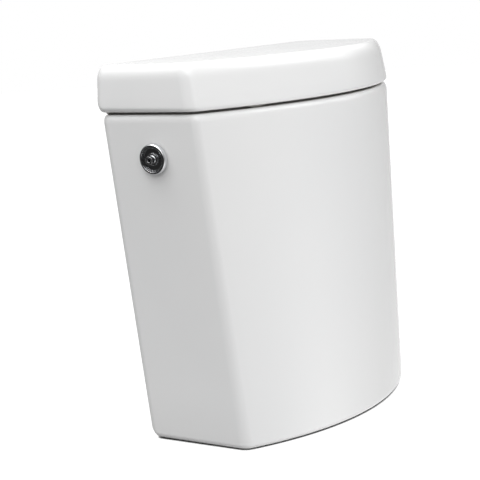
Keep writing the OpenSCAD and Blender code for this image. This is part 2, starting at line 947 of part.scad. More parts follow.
// Float: a cup open downwards round the riser, with a lug for the rod
module float_cup() {
    sleeve_r = riser_r + float_sleeve_gap;
    color("gainsboro")
        at_fill()
            translate([0, 0, float_bottom])
                difference() {
                    union() {
                        pipe(float_r, float_r - float_skin, float_height);
                        pipe(sleeve_r + float_skin, sleeve_r, float_height);
                        translate([0, 0, float_height - float_top_t])
                            pipe(float_r, sleeve_r, float_top_t);
                        translate([rod_x - fill_x - lug_w / 2, -lug_w / 2, float_height - lug_t])
                            cube([fill_x - rod_x + lug_w / 2 - float_r + float_skin, lug_w, lug_t]);
                    }
                    translate([rod_x - fill_x, 0, float_height - lug_t - past])
                        cylinder(r = rod_r + seat_gap, h = lug_t + 2 * past);
                }
}

// Rod from the float to the lever, with its cross pin
module float_rod() {
    rod_z = float_bottom + float_height - lug_t - rod_below;
    color("gold")
        translate([rod_x, fill_back, 0])
            union() {
                translate([0, 0, rod_z])
                    cylinder(r = rod_r, h = rod_pin_z + rod_above - rod_z);
                translate([0, -lever_w / 2, rod_pin_z])
                    rotate([-90, 0, 0])
                        cylinder(r = rod_pin_r, h = lever_w);
            }
}

// Two nuts that set the float's height on the rod
module float_rod_nuts() {
    lug_z = float_bottom + float_height;
    color("gold")
        translate([rod_x, fill_back, 0])
            for (z = [lug_z, lug_z - lug_t - rod_nut_t])
                translate([0, 0, z])
                    difference() {
                        hex(rod_nut_flats, rod_nut_t);
                        translate([0, 0, -past])
                            cylinder(r = rod_r + seat_gap, h = rod_nut_t + 2 * past);
                    }
}

// Lever between the float rod and the pilot nozzle, at rest with its long arm down
module valve_lever() {
    slot_l = 2 * (rod_pin_r + lever_slot_run);
    slot_h = 2 * (rod_pin_r + lever_slot_slack);
    tip = lever_arm + slot_l / 2 + lever_tip;
    color("lightsteelblue")
        translate([pivot_x, fill_back, pivot_z])
            rotate([0, -lever_half_swing, 0])
                difference() {
                    union() {
                        translate([-tip, -lever_w / 2, -lever_t / 2 - fork_lip])
                            cube([tip, lever_w, lever_t + 2 * fork_lip]);
                        translate([0, lever_w / 2, 0])
                            rotate([90, 0, 0])
                                cylinder(r = lever_hub_r, h = lever_w);
                        translate([0, -lever_w / 2, -lever_t / 2])
                            cube([pivot_left + lever_pad_r, lever_w, lever_t]);
                        translate([pivot_left, 0, -lever_pad_drop])
                            cylinder(r = lever_pad_r, h = lever_pad_drop);
                    }
                    translate([0, lever_w, 0])
                        rotate([90, 0, 0])
                            cylinder(r = pivot_pin_r + running_gap, h = 2 * lever_w);
                    translate([-lever_arm - slot_l / 2, -lever_w, -slot_h / 2])
                        cube([slot_l, 2 * lever_w, slot_h]);
                    translate([-tip - past, -lever_w / 2 + lever_cheek, -lever_t])
                        cube([fork_depth + tip - lever_arm + past, lever_w - 2 * lever_cheek, 2 * lever_t]);
                }
}

// Pin that the lever rocks on
module lever_pin() {
    pin_half = lever_w / 2 + slide_gap + pivot_lug_t;
    color("gray")
        translate([pivot_x, fill_back - pin_half, pivot_z])
            rotate([-90, 0, 0])
                cylinder(r = pivot_pin_r, h = 2 * pin_half);
}

tank();
lid();
lever_bush();
bush_outer_washer();
bush_inner_washer();
bush_nut();
lever_spindle();
spindle_clip();
crank_arm();
crank_screw();
flush_valve_base();
flush_base_seal();
flush_nut_washer();
flush_back_nut();
flush_cage();
overflow_tube();
plunger_seal();
seal_retainer();
lift_stem();
fill_valve_body();
fill_shank_seal();
fill_back_nut();
inlet_filter();
fill_valve_head();
diaphragm();
valve_cap();
discharge_pipe();
float_stop();
float_cup();
float_rod();
float_rod_nuts();
valve_lever();
lever_pin();
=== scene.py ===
# Looks of the ceramic toilet cistern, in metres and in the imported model's own frame
import json
import math

import bmesh
import bpy
from mathutils import Matrix, Vector


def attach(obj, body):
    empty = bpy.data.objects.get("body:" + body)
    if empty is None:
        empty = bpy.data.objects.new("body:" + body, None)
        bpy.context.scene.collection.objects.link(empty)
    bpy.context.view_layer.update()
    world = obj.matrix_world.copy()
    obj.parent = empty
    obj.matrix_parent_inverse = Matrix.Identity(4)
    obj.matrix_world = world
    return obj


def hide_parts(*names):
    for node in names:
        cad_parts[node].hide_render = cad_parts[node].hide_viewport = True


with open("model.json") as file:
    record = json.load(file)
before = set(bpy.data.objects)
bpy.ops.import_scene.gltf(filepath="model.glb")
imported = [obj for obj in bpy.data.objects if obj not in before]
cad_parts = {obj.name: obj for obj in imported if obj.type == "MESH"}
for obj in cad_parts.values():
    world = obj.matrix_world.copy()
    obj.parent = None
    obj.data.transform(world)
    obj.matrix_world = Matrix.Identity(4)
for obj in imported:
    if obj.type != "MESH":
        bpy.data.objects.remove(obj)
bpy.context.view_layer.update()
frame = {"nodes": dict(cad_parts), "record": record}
nodes = frame["nodes"]
slots = {row["node"]: row["material_slot"] for row in frame["record"]["subparts"]}
bodies = {name: body for body, names in frame["record"]["behaviour"]["bodies"].items() for name in names}
MM = 0.001

# Sizes of the ceramic, in millimetres, the same as in the part's source
TANK_HEIGHT = 335.0
BASE_WIDTH = 328.0
TOP_WIDTH = 382.0
BACK_BASE = 81.5
BACK_TOP = 94.5
CORNER_BASE = 38.0
CORNER_TOP = 21.0
BOW_ANGLE = math.radians(30.0)
FRONT_CORNER_R = 15.0
FRONT_CORNER_TOP_R = 11.0
BACK_CORNER_R = 12.0
BASE_EDGE_R = 6.0
SHOULDER_R = 5.0
SHOULDER_DROP = 8.5
WALL = 10.0
RECESS_HEIGHT = 36.0
RECESS_ROUND = 6.0
SKIRT = 18.0
CAST_DRAFT = 1.0
FLOOR_Z = 46.0
FLOOR_FILLET = 12.0
RIM_CHAMFER = 1.5
LEAST_CORNER_R = 4.0
SEAT_Z = 335.3
LID_HEIGHT = 47.4
LID_SIDE_OVER = 2.8
LID_BACK_OVER = 4.2
LID_FRONT_DRAFT = 8.1
LID_SIDE_DRAFT = 2.2
LID_CORNER_R = 18.0
LID_TOP_R = 7.0
LID_TOP_DROP = 15.0
LID_CROWN = 2.0
CROWN_REACH = 60.0
LID_SEAT_WIDTH = 18.0
LID_RIB_WIDTH = 5.0
LID_RIB_DROP = 6.0
LID_ROOF = 12.0
LID_HOLLOW_SLOPE = 8.0

# Small edges that only this script has, and the margin between bare and glazed faces, in millimetres
SKIRT_CHAMFER = 1.5
RIB_ROUND = 1.5
BARE_MARGIN = 0.05

# Lower edges are softer at the back corners, in millimetres
SOFT_REACH = 16.0
SOFT_LID_RISE = 14.0
SOFT_LID_FULLNESS = 1.1
SOFT_BASE_IN = 9.0
SOFT_BASE_RISE = 13.0

# Dark slot between the lid and the tank's rim, and the lid's cast feet in it, in millimetres
SEAT_LIFT = 1.2
RIM_DROP = 0.9
SEAT_EDGE_IN = 6.0
SEAT_EDGE_RISE = 5.0
SEAT_EDGE_FULLNESS = 0.8
RIM_Z = TANK_HEIGHT - RIM_DROP
FOOT_IN = 9.5
FOOT_HALF_WIDTH = 2.0
FOOT_X = 120.0
FOOT_HALF_LENGTH = 6.0
FOOT_RAMP = 8.0

# Places of the holes, in millimetres
SPINDLE_BACK = 30.7
SPINDLE_Z = 291.8
SPINDLE_HOLE_R = 8.5
FLUSH_HOLE_R = 31.5
FILL_X = 118.0
FILL_Y = 10.0
FILL_HOLE_R = 11.28
BOLT_X = 75.0
BOLT_HOLE_R = 6.0
SCREW_X = 110.0
SCREW_Z = 275.0
SCREW_HOLE_R = 4.5
HOLE_FLARE = 2.5
MOUTH_START = math.radians(40.0)
MOUTH_STEPS = 6

# How far the cutters reach past the wall or along their axes, in metres
CUTTER_PAST = 0.004
SIDE_CUT = (-0.02, 0.03)
FLOOR_CUT = (0.03, 0.06)

# Chrome bush, in millimetres; heights run inwards from the outside of the wall
BUSH_R = 15.5
BUSH_RIM = 5.0
BUSH_FLANK = 1.8
BUSH_FOOT = 1.2
BUSH_RIM_WIDTH = 1.2
BUSH_WASHER = 1.0
DISH_FLOOR = 2.0
DISH_STEP_IN = 0.85
DISH_STEPS = 3
DISH_EDGE = 0.15
RIM_EDGE = 0.3
BUSH_BORE_R = 4.05
SHANK_R = 8.0
SHANK_END = 24.0
SHANK_THREAD_START = 12.0
SHANK_PITCH = 1.5
SHANK_THREAD_DEPTH = 0.7

# Threads: rows in a turn, and how steep the flanks and how wide the flats are
THREAD_ROWS = 8
FLANK_STEEPNESS = 1.4
CREST_FLAT = 0.2

# Threaded tails of the two valves, in millimetres
TAIL_END = 2.0
RELIEF_DEPTH = 0.6
RELIEF_LENGTH = 1.5

# Flush valve's body, in millimetres
OUTLET_R = 29.8
OUTLET_BORE_R = 25.0
OUTLET_PITCH = 2.309
OUTLET_THREAD_DEPTH = 1.3
OUTLET_RELIEF_Z = 20.5
BASE_Z = 49.0
BASE_FLANGE_R = 46.0
BASE_FLANGE_TOP = 54.0
SOCKET_R = 40.0
SOCKET_IN_R = 37.0
SOCKET_TOP = 62.0
LIP_R = 28.5
LIP_TOP = 62.7

# Fill valve's body, in millimetres
INLET_R = 10.48
INLET_BORE_R = 6.5
INLET_PITCH = 1.814
INLET_THREAD_DEPTH = 1.1
INLET_RELIEF_Z = 24.5
FILL_Z = 48.5
FILL_FLANGE_R = 18.5
FILL_FLANGE_TOP = 54.0
RISER_R = 11.0
RISER_TOP = 222.0

# Cage with its windows and vents, in millimetres
CAGE_R = 36.9
CAGE_IN_R = 33.1
CAGE_LOW = 54.1
CAGE_DECK_LOW = 150.0
CAGE_DECK_TOP = 154.0
CAGE_GUIDE_R = 16.5
CAGE_COLLAR_R = 19.5
CAGE_COLLAR_TOP = 168.0
CAGE_EDGE = 0.6
WINDOW_WIDTH = 44.6
WINDOW_LOW = 60.1
WINDOW_TOP = 144.0
WINDOW_CORNER_R = 3.0
WINDOW_CORNER_STEPS = 6
VENT_R = 4.5
VENT_PLACE = 26.3
VENT_PAST = 1.0
VENTS = 8

# Float rod with its cross pin, in millimetres
ROD_X = 80.0
ROD_R = 2.0
ROD_LOW = 150.0
ROD_TOP = 268.0
ROD_THREAD_TOP = 186.0
ROD_PITCH = 0.7
ROD_THREAD_DEPTH = 0.43
ROD_PIN_Z = 265.0
ROD_PIN_R = 1.4
ROD_PIN_HALF = 4.0

# Rounding of the sharp edges of moulded, turned and pressed pieces, in millimetres for each finish
EDGE_ROUND = {
    "white_plastic": 0.35,
    "blue_plastic": 0.25,
    "grey_plastic": 0.5,
    "black_rubber": 0.3,
    "red_rubber": 0.4,
    "chrome": 0.3,
    "brass": 0.25,
    "steel": 0.2,
}
SHORTEST_EDGE = 0.1
LONG_EDGE = 6.0
ONLY_LONG_EDGES = ("crank_arm", "crank_screw", "valve_cap", "lift_stem", "inlet_filter", "valve_lever")
FLAT_ANGLE = math.radians(0.5)
SHARP_ANGLE = math.radians(35)
CORNER_STEPS = 3
ROUND_PROFILE = 0.5
SMOOTH_ANGLE = math.radians(38)

# How finely the ceramic and the round pieces are divided
BACK_STEPS = 8
FRONT_STEPS = 14
BOW_STEPS = 44
EDGE_STEPS = 9
WALL_ROWS = 8
LID_ROWS = 5
CROWN_ROWS = 9
FINE_STEPS = 128
BODY_STEPS = 96
PLAIN_STEPS = 64
HOLE_STEPS = 48
ROD_STEPS = 32


# Outlines and rings of the ceramic
def tank_sizes(z):
    """Half width, y of the front corners and of the back, and radii of the front and back corners."""
    share = z / TANK_HEIGHT
    half = (BASE_WIDTH + (TOP_WIDTH - BASE_WIDTH) * share) / 2
    corner = -CORNER_BASE + (CORNER_BASE - CORNER_TOP) * share
    back = BACK_BASE + (BACK_TOP - BACK_BASE) * share
    front_r = FRONT_CORNER_R + (FRONT_CORNER_TOP_R - FRONT_CORNER_R) * share
    return (half, corner, back, front_r, BACK_CORNER_R)


def lid_sizes(share):
    """The same five sizes for the lid, at a share of its height."""
    half = TOP_WIDTH / 2 + LID_SIDE_OVER - LID_SIDE_DRAFT * share
    corner = -CORNER_TOP + LID_FRONT_DRAFT * share
    back = BACK_TOP + LID_BACK_OVER - LID_SIDE_DRAFT * share
    return (half, corner, back, LID_CORNER_R, BACK_CORNER_R)


def inset(sizes, by):
    """Sizes of the outline that lies inside by that distance all round."""
    half, corner, back, front_r, back_r = sizes
    corner = corner + by * (1 - math.sin(BOW_ANGLE)) / math.cos(BOW_ANGLE)
    front_r = max(front_r - by, LEAST_CORNER_R)
    back_r = max(back_r - by, LEAST_CORNER_R)
    return (half - by, corner, back - by, front_r, back_r)


def arc(centre, radius, start, end, steps):
    """Points between two angles in degrees."""
    points = []
    for k in range(steps + 1):
        angle = math.radians(start + (end - start) * k / steps)
        points.append((centre[0] + radius * math.cos(angle), centre[1] + radius * math.sin(angle)))
    return points


def outline(sizes):
    """Outline from above: straight sides and back, round corners and a bowed front."""
    half, corner, back, front_r, back_r = sizes
    bow = math.degrees(BOW_ANGLE)
    turn = 90 - bow
    front_y = corner + front_r * math.tan(math.radians(turn / 2))
    bow_x = half - front_r + front_r * math.sin(BOW_ANGLE)
    bow_r = bow_x / math.sin(BOW_ANGLE)
    bow_y = front_y - front_r * math.cos(BOW_ANGLE) + bow_r * math.cos(BOW_ANGLE)
    front = arc((0, bow_y), bow_r, 270 - bow, 270 + bow, BOW_STEPS)
    points = arc((-half + back_r, back - back_r), back_r, 90, 180, BACK_STEPS)
    points += arc((-half + front_r, front_y), front_r, 180, 180 + turn, FRONT_STEPS)
    points += front[1:-1]
    points += arc((half - front_r, front_y), front_r, 360 - turn, 360, FRONT_STEPS)
    points += arc((half - back_r, back - back_r), back_r, 0, 90, BACK_STEPS)
    return points


def ring(sizes, z):
    return [(x * MM, y * MM, z * MM) for x, y in outline(sizes)]


def tank_ring(z, by=0.0):
    return ring(inset(tank_sizes(z), by), z)


def lid_ring(z, by=0.0):
    """Ring of the lid's outside, which leans in as it rises."""
    return ring(inset(lid_sizes((z - SEAT_Z) / LID_HEIGHT), by), z)


def under_lid_ring(z, by):
    return ring(inset(lid_sizes(0), by), z)


def foot_ring(sizes):
    """Ring of the lid's seat that dips to the tank's rim at two feet in front and along the back."""
    points = []
    back = sizes[2]
    for x, y in outline(sizes):
        if y > 0:
            off = back - y
        else:
            off = max(abs(abs(x) - FOOT_X) - FOOT_HALF_LENGTH, 0)
        rise = (SEAT_Z + SEAT_LIFT - RIM_Z) * min(off / FOOT_RAMP, 1)
        points.append((x * MM, y * MM, (RIM_Z + rise) * MM))
    return points


def rounding(along, across=None, fullness=1.0):
    """Steps of a quarter ellipse, or of a circle from one size; a fullness below 1 makes it squarer."""
    across = along if across is None else across
    steps = []
    for k in range(1, EDGE_STEPS + 1):
        angle = math.pi / 2 * k / EDGE_STEPS
        sine = math.sin(angle) ** fullness
        cosine = max(math.cos(angle), 0) ** fullness
        steps.append((along * sine, across * (1 - cosine)))
    return steps


def soft_at_back(full, soft):
    """Ring between two: the soft one at the back and the full one elsewhere."""
    start = max(y for x, y, z in full) - SOFT_REACH * MM
    mixed = []
    for near, far in zip(full, soft):
        share = min(max((near[1] - start) / (SOFT_REACH * MM), 0), 1)
        share = share * share * (3 - 2 * share)
        mixed.append(tuple(a + (b - a) * share for a, b in zip(near, far)))
    return mixed


def between(low, high, count):
    """Values from low to high in even steps."""
    return [low + (high - low) * k / count for k in range(count + 1)]


# Meshes from rings and profiles
def mesh_object(name, bm):
    bmesh.ops.recalc_face_normals(bm, faces=bm.faces)
    mesh = bpy.data.meshes.new(name)
    bm.to_mesh(mesh)
    bm.free()
    made = bpy.data.objects.new(name, mesh)
    bpy.context.scene.collection.objects.link(made)
    return made


def loft(name, rings):
    """Solid through rings that have the same number of points, closed at both ends."""
    bm = bmesh.new()
    rows = [[bm.verts.new(point) for point in row] for row in rings]
    count = len(rows[0])
    for low, high in zip(rows, rows[1:]):
        for i in range(count):
            k = (i + 1) % count
            bm.faces.new((low[i], low[k], high[k], high[i]))
    bm.faces.new(rows[0])
    bm.faces.new(rows[-1])
    return mesh_object(name, bm)


def groove(turns):
    """Share of a thread's depth along its turns, from 0 on the crest to 1 in the root."""
    return min(max(FLANK_STEEPNESS * abs(2 * (turns % 1) - 1) - CREST_FLAT, 0), 1)


def thread(radius, low, high, pitch, depth):
    """Points of a profile that also carry a thread's pitch and depth, which runs out at both ends."""
    points = []
    for height in between(low, high, round((high - low) / pitch * THREAD_ROWS)):
        share = min((height - low) / pitch, (high - height) / pitch, 1)
        points.append((radius, height, pitch, depth * share))
    return points


def eased(points, width):
    """Profile that runs round its solid from the lowest inside point, with its outer corners rounded."""
    made = [points[0]]
    for before, here, after in zip(points, points[1:], points[2:]):
        back = Vector(before) - Vector(here)
        on = Vector(after) - Vector(here)
        if back.x * on.y - back.y * on.x >= 0:
            made.append(here)
            continue
        start = Vector(here) + back * min(width / back.length, 0.5)
        end = Vector(here) + on * min(width / on.length, 0.5)
        for share in between(0, 1, CORNER_STEPS):
            point = start * (1 - share) ** 2 + Vector(here) * 2 * share * (1 - share) + end * share ** 2
            made.append((point.x, point.y))
    made.append(points[-1])
    return made


def lathe(name, profile, steps=PLAIN_STEPS, closed=False):
    """Solid round Z from (radius, height) points, some with a thread; a point on the axis has radius 0."""
    bm = bmesh.new()
    rows = []
    for radius, height, *screw in profile:
        if radius == 0:
            rows.append([bm.verts.new((0, 0, height))])
            continue
        row = []
        for k in range(steps):
            angle = 2 * math.pi * k / steps
            here = radius
            if screw:
                pitch, depth = screw
                here = radius - depth * groove(height / pitch - k / steps)
            row.append(bm.verts.new((here * math.cos(angle), here * math.sin(angle), height)))
        rows.append(row)
    following = rows[1:] + rows[:1] if closed else rows[1:]
    for low, high in zip(rows, following):
        for i in range(steps):
            k = (i + 1) % steps
            corners = [low[i % len(low)], low[k % len(low)], high[k % len(high)], high[i % len(high)]]
            corners = list(dict.fromkeys(corners))
            if len(corners) > 2:
                bm.faces.new(corners)
    return mesh_object(name, bm)


def smooth(obj):
    """Smooth shading that stops at sharp edges."""
    for face in obj.data.polygons:
        face.use_smooth = True
    obj.data.set_sharp_from_angle(angle=SMOOTH_ANGLE)


def combine(obj, others, operation):
    """Cuts the others out of a piece or joins them to it, and removes them."""
    for other in others:
        modifier = obj.modifiers.new("combine", "BOOLEAN")
        modifier.operation = operation
        modifier.solver = "EXACT"
        modifier.object = other
    bpy.context.view_layer.update()
    evaluated = obj.evaluated_get(bpy.context.evaluated_depsgraph_get())
    mesh = bpy.data.meshes.new_from_object(evaluated)
    obj.modifiers.clear()
    obj.data = mesh
    mesh.name = obj.name
    for other in others:
        bpy.data.objects.remove(other)


# Places and cutters
def towards(place, axis):
    """Place at a point whose Z runs along an axis."""
    turn = Vector((0, 0, 1)).rotation_difference(Vector(axis)).to_matrix().to_4x4()
    return Matrix.Translation(Vector(place)) @ turn


def hole_cutter(name, radius, length, place, axis):
    """Cutter for a glazed hole whose mouth at each face of the wall is eased."""
    half = length / 2
    flare = HOLE_FLARE * MM
    mouth = radius + flare * (1 - math.sin(MOUTH_START))
    profile = [(0, -half - CUTTER_PAST), (mouth, -half - CUTTER_PAST)]
    for angle in between(MOUTH_START, math.pi / 2, MOUTH_STEPS):
        in_by = flare * (math.cos(MOUTH_START) - math.cos(angle))
        profile.append((radius + flare * (1 - math.sin(angle)), -half + in_by))
    profile += [(r, -h) for r, h in reversed(profile)]
    cutter = lathe(name, profile, HOLE_STEPS)
    cutter.data.transform(towards(place, axis))
    return cutter


def plain_cutter(name, radius, reach, place, axis):
    low, high = reach
    cutter = lathe(name, [(0, low), (radius, low), (radius, high), (0, high)])
    cutter.data.transform(towards(place, axis))
    return cutter


def on_side():
    """Place on the left side wall whose Z runs inwards along the spindle."""
    lean = math.atan((TOP_WIDTH - BASE_WIDTH) / 2 / TANK_HEIGHT)
    spot = Vector((-tank_sizes(SPINDLE_Z)[0], SPINDLE_BACK, SPINDLE_Z)) * MM
    return Matrix.Translation(spot) @ Matrix.Rotation(math.pi / 2 - lean, 4, "Y")


# Finish, body and slot of a piece
def finish_with(obj, slot):
    obj.data.materials.clear()
    obj.data.materials.append(finishes[slot])


def put_in_place(obj, name):
    """Finishes a piece and lets it stand for the solid of that name."""
    smooth(obj)
    finish_with(obj, slots[name])
    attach(obj, bodies[name])
    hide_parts(name)


def leave_bare(obj, faces):
    """Gives the faces that glaze never covers the finish of the fired clay."""
    obj.data.materials.append(finishes["bare_china"])
    for face in faces:
        face.material_index = 1


def tank_rings():
    """Rings from the hollow under the floor, over the standing rim and the outside, to the floor inside."""
    spring = RECESS_HEIGHT - RECESS_ROUND
    arch = RECESS_ROUND - CAST_DRAFT
    rings = [tank_ring(RECESS_HEIGHT, SKIRT + RECESS_ROUND)]
    for along, inwards in reversed(rounding(arch)[:-1]):
        rings.append(tank_ring(spring + along * RECESS_ROUND / arch, SKIRT + CAST_DRAFT + inwards))
    rings.append(tank_ring(spring, SKIRT + CAST_DRAFT))
    rings.append(tank_ring(SKIRT_CHAMFER, SKIRT))
    rings.append(tank_ring(0, SKIRT - SKIRT_CHAMFER))
    rings.append(soft_at_back(tank_ring(0, BASE_EDGE_R), tank_ring(0, SOFT_BASE_IN)))
    soft_edge = rounding(SOFT_BASE_IN, SOFT_BASE_RISE)
    for (along, rise), (soft_along, soft_rise) in zip(rounding(BASE_EDGE_R), soft_edge):
        full = tank_ring(rise, BASE_EDGE_R - along)
        soft = tank_ring(soft_rise, SOFT_BASE_IN - soft_along)
        rings.append(soft_at_back(full, soft))
    for z in between(SOFT_BASE_RISE, RIM_Z - SHOULDER_DROP, WALL_ROWS)[1:]:
        rings.append(tank_ring(z))
    for along, inwards in rounding(SHOULDER_DROP, SHOULDER_R):
        rings.append(tank_ring(RIM_Z - SHOULDER_DROP + along, inwards))
    for along, inwards in rounding(RIM_CHAMFER):
        rings.append(tank_ring(RIM_Z - inwards, WALL - RIM_CHAMFER + along))
    for z in between(RIM_Z - RIM_CHAMFER, FLOOR_Z + FLOOR_FILLET, WALL_ROWS)[1:]:
        rings.append(tank_ring(z, WALL))
    for along, inwards in rounding(FLOOR_FILLET):
        rings.append(tank_ring(FLOOR_Z + FLOOR_FILLET - along, WALL + inwards))
    return rings


def tank_cutters():
    """Cutters for the spindle, the two valves, the coupling bolts and the wall screws."""
    upwards = (0, 0, 1)
    inwards = Vector((1, 0, (TOP_WIDTH - BASE_WIDTH) / 2 / TANK_HEIGHT)).normalized()
    outwards = Vector((0, 1, -(BACK_TOP - BACK_BASE) / TANK_HEIGHT)).normalized()
    side_x = -tank_sizes(SPINDLE_Z)[0] * MM
    floor_middle = (RECESS_HEIGHT + FLOOR_Z) / 2 * MM
    floor_depth = (FLOOR_Z - RECESS_HEIGHT) * MM
    screw_y = tank_sizes(SCREW_Z)[2] * MM - WALL / 2 * MM
    spindle_place = (side_x, SPINDLE_BACK * MM, SPINDLE_Z * MM)
    fill_place = (FILL_X * MM, FILL_Y * MM, 0)
    cutters = [
        plain_cutter("spindle_hole", SPINDLE_HOLE_R * MM, SIDE_CUT, spindle_place, inwards),
        plain_cutter("flush_hole", FLUSH_HOLE_R * MM, FLOOR_CUT, (0, 0, 0), upwards),
        plain_cutter("fill_hole", FILL_HOLE_R * MM, FLOOR_CUT, fill_place, upwards),
    ]
    for side in (-1, 1):
        bolt_place = (side * BOLT_X * MM, 0, floor_middle)
        screw_place = (side * SCREW_X * MM, screw_y, SCREW_Z * MM)
        cutters.append(hole_cutter("bolt_hole", BOLT_HOLE_R * MM, floor_depth, bolt_place, upwards))
        cutters.append(hole_cutter("screw_hole", SCREW_HOLE_R * MM, WALL * MM, screw_place, outwards))
    return cutters


# Ceramic tank, bare on its standing rim and on the rim under the lid
def make_tank():
    made = loft("tank_ceramic", tank_rings())
    combine(made, tank_cutters(), "DIFFERENCE")
    put_in_place(made, "tank")
    foot_level = BARE_MARGIN * MM
    rim_level = (RIM_Z - BARE_MARGIN) * MM
    faces = made.data.polygons
    leave_bare(made, [face for face in faces if face.center.z < foot_level or face.center.z > rim_level])


def under_lid_rings():
    """Rings of the lid's underside, from its roof over the locating rib to the seat's outer edge."""
    roof = SEAT_Z + LID_HEIGHT - LID_ROOF
    seat = SEAT_Z + SEAT_LIFT
    rib_in = LID_SEAT_WIDTH + LID_RIB_WIDTH
    rib_low = SEAT_Z - LID_RIB_DROP
    curved = LID_HOLLOW_SLOPE - CAST_DRAFT
    rings = [under_lid_ring(roof, rib_in + LID_HOLLOW_SLOPE)]
    for along, inwards in reversed(rounding(LID_HOLLOW_SLOPE)[:-1]):
        by = rib_in + CAST_DRAFT + inwards * curved / LID_HOLLOW_SLOPE
        rings.append(under_lid_ring(roof - LID_HOLLOW_SLOPE + along, by))
    rings.append(under_lid_ring(roof - LID_HOLLOW_SLOPE, rib_in + CAST_DRAFT))
    rings.append(under_lid_ring(rib_low + RIB_ROUND, rib_in))
    for along, inwards in rounding(RIB_ROUND):
        rings.append(under_lid_ring(rib_low + RIB_ROUND - along, rib_in - inwards))
    for along, inwards in rounding(RIB_ROUND):
        rings.append(under_lid_ring(rib_low + inwards, LID_SEAT_WIDTH + RIB_ROUND - along))
    rings.append(under_lid_ring(seat, LID_SEAT_WIDTH - CAST_DRAFT))
    rings.append(under_lid_ring(seat, FOOT_IN + FOOT_HALF_WIDTH))
    rings.append(foot_ring(inset(lid_sizes(0), FOOT_IN)))
    rings.append(under_lid_ring(seat, FOOT_IN - FOOT_HALF_WIDTH))
    rings.append(under_lid_ring(seat, SEAT_EDGE_IN))
    return rings


def over_lid_rings():
    """Rings of the lid's outside, from above the seat to the crown."""
    seat = SEAT_Z + SEAT_LIFT
    top = SEAT_Z + LID_HEIGHT
    rings = []
    full_edge = rounding(SEAT_EDGE_IN, SEAT_EDGE_RISE, SEAT_EDGE_FULLNESS)
    soft_edge = rounding(SEAT_EDGE_IN, SOFT_LID_RISE - SEAT_LIFT, SOFT_LID_FULLNESS)
    for (along, rise), (soft_along, soft_rise) in zip(full_edge, soft_edge):
        full = lid_ring(seat + rise, SEAT_EDGE_IN - along)
        soft = lid_ring(seat + soft_rise, SEAT_EDGE_IN - soft_along)
        rings.append(soft_at_back(full, soft))
    for z in between(SEAT_Z + SOFT_LID_RISE, top - LID_TOP_DROP, LID_ROWS)[1:]:
        rings.append(lid_ring(z))
    for along, inwards in rounding(LID_TOP_DROP, LID_TOP_R):
        rings.append(lid_ring(top - LID_TOP_DROP + along, inwards))
    for k in range(1, CROWN_ROWS):
        share = k / CROWN_ROWS
        rise = LID_CROWN * (1 - (1 - share) ** 2)
        rings.append(ring(inset(lid_sizes(1), LID_TOP_R + CROWN_REACH * share), top + rise))
    return rings


# Ceramic lid, hollow and bare below, with a locating rib inside the tank's rim
def make_lid():
    below = under_lid_rings()
    made = loft("lid_ceramic", below + over_lid_rings())
    put_in_place(made, "lid")
    # The underside's faces come first, and the roof is the last face but one
    first_glazed = (len(below) - 1) * len(below[0])
    faces = made.data.polygons
    roof_face = len(faces) - 2
    leave_bare(made, [face for face in faces if face.index < first_glazed or face.index == roof_face])


# Chrome bush in the left side wall
def make_bush():
    rim_z = -BUSH_WASHER - BUSH_RIM
    rim_r = BUSH_R - BUSH_FLANK
    dish_r = rim_r - BUSH_RIM_WIDTH
    profile = [(BUSH_BORE_R, SHANK_END), (SHANK_R - SHANK_THREAD_DEPTH, SHANK_END)]
    profile += reversed(thread(SHANK_R, SHANK_THREAD_START, SHANK_END, SHANK_PITCH, SHANK_THREAD_DEPTH))
    profile += [(SHANK_R, -BUSH_WASHER), (BUSH_R, -BUSH_WASHER), (BUSH_R, -BUSH_WASHER - BUSH_FOOT)]
    for rise, inwards in rounding(BUSH_RIM - BUSH_FOOT, BUSH_FLANK):
        profile.append((BUSH_R - inwards, -BUSH_WASHER - BUSH_FOOT - rise))
    step_depth = (BUSH_RIM - DISH_FLOOR) / DISH_STEPS
    for k in range(DISH_STEPS):
        radius = dish_r - DISH_STEP_IN * k
        level = rim_z + step_depth * k
        edge = DISH_EDGE if k else RIM_EDGE
        for along, inwards in rounding(edge):
            profile.append((radius + edge - along, level + inwards))
        profile.append((radius, level + step_depth))
    profile.append((BUSH_BORE_R, -BUSH_WASHER - DISH_FLOOR))
    made = lathe("chrome_bush", profile, FINE_STEPS, closed=True)
    made.data.transform(on_side() @ Matrix.Scale(MM, 4))
    put_in_place(made, "lever_bush")


def threaded_tail(radius, bore, relief_z, pitch, depth):
    """Profile of a valve's tail from its bore up to the tank's floor, with a relief part of the way up."""
    above = relief_z + RELIEF_LENGTH
    profile = [(bore, TAIL_END), (radius - depth, TAIL_END)]
    profile += thread(radius, TAIL_END, relief_z, pitch, depth)
    profile += [(radius - RELIEF_DEPTH, relief_z), (radius - RELIEF_DEPTH, above)]
    profile += thread(radius, above, RECESS_HEIGHT, pitch, depth)
    return profile


# Flush valve's body with its threaded tail
def make_flush_base():
    profile = threaded_tail(OUTLET_R, OUTLET_BORE_R, OUTLET_RELIEF_Z, OUTLET_PITCH, OUTLET_THREAD_DEPTH)
    upper = [(OUTLET_R, RECESS_HEIGHT), (OUTLET_R, BASE_Z), (BASE_FLANGE_R, BASE_Z)]
    upper += [(BASE_FLANGE_R, BASE_FLANGE_TOP), (SOCKET_R, BASE_FLANGE_TOP), (SOCKET_R, SOCKET_TOP)]
    upper += [(SOCKET_IN_R, SOCKET_TOP), (SOCKET_IN_R, BASE_FLANGE_TOP), (LIP_R, BASE_FLANGE_TOP)]
    upper += [(LIP_R, LIP_TOP), (OUTLET_BORE_R, LIP_TOP), (OUTLET_BORE_R, TAIL_END)]
    profile += eased(upper, EDGE_ROUND["white_plastic"])[1:-1]
    made = lathe("flush_valve_moulding", profile, FINE_STEPS, closed=True)
    made.data.transform(Matrix.Scale(MM, 4))
    put_in_place(made, "flush_valve_base")


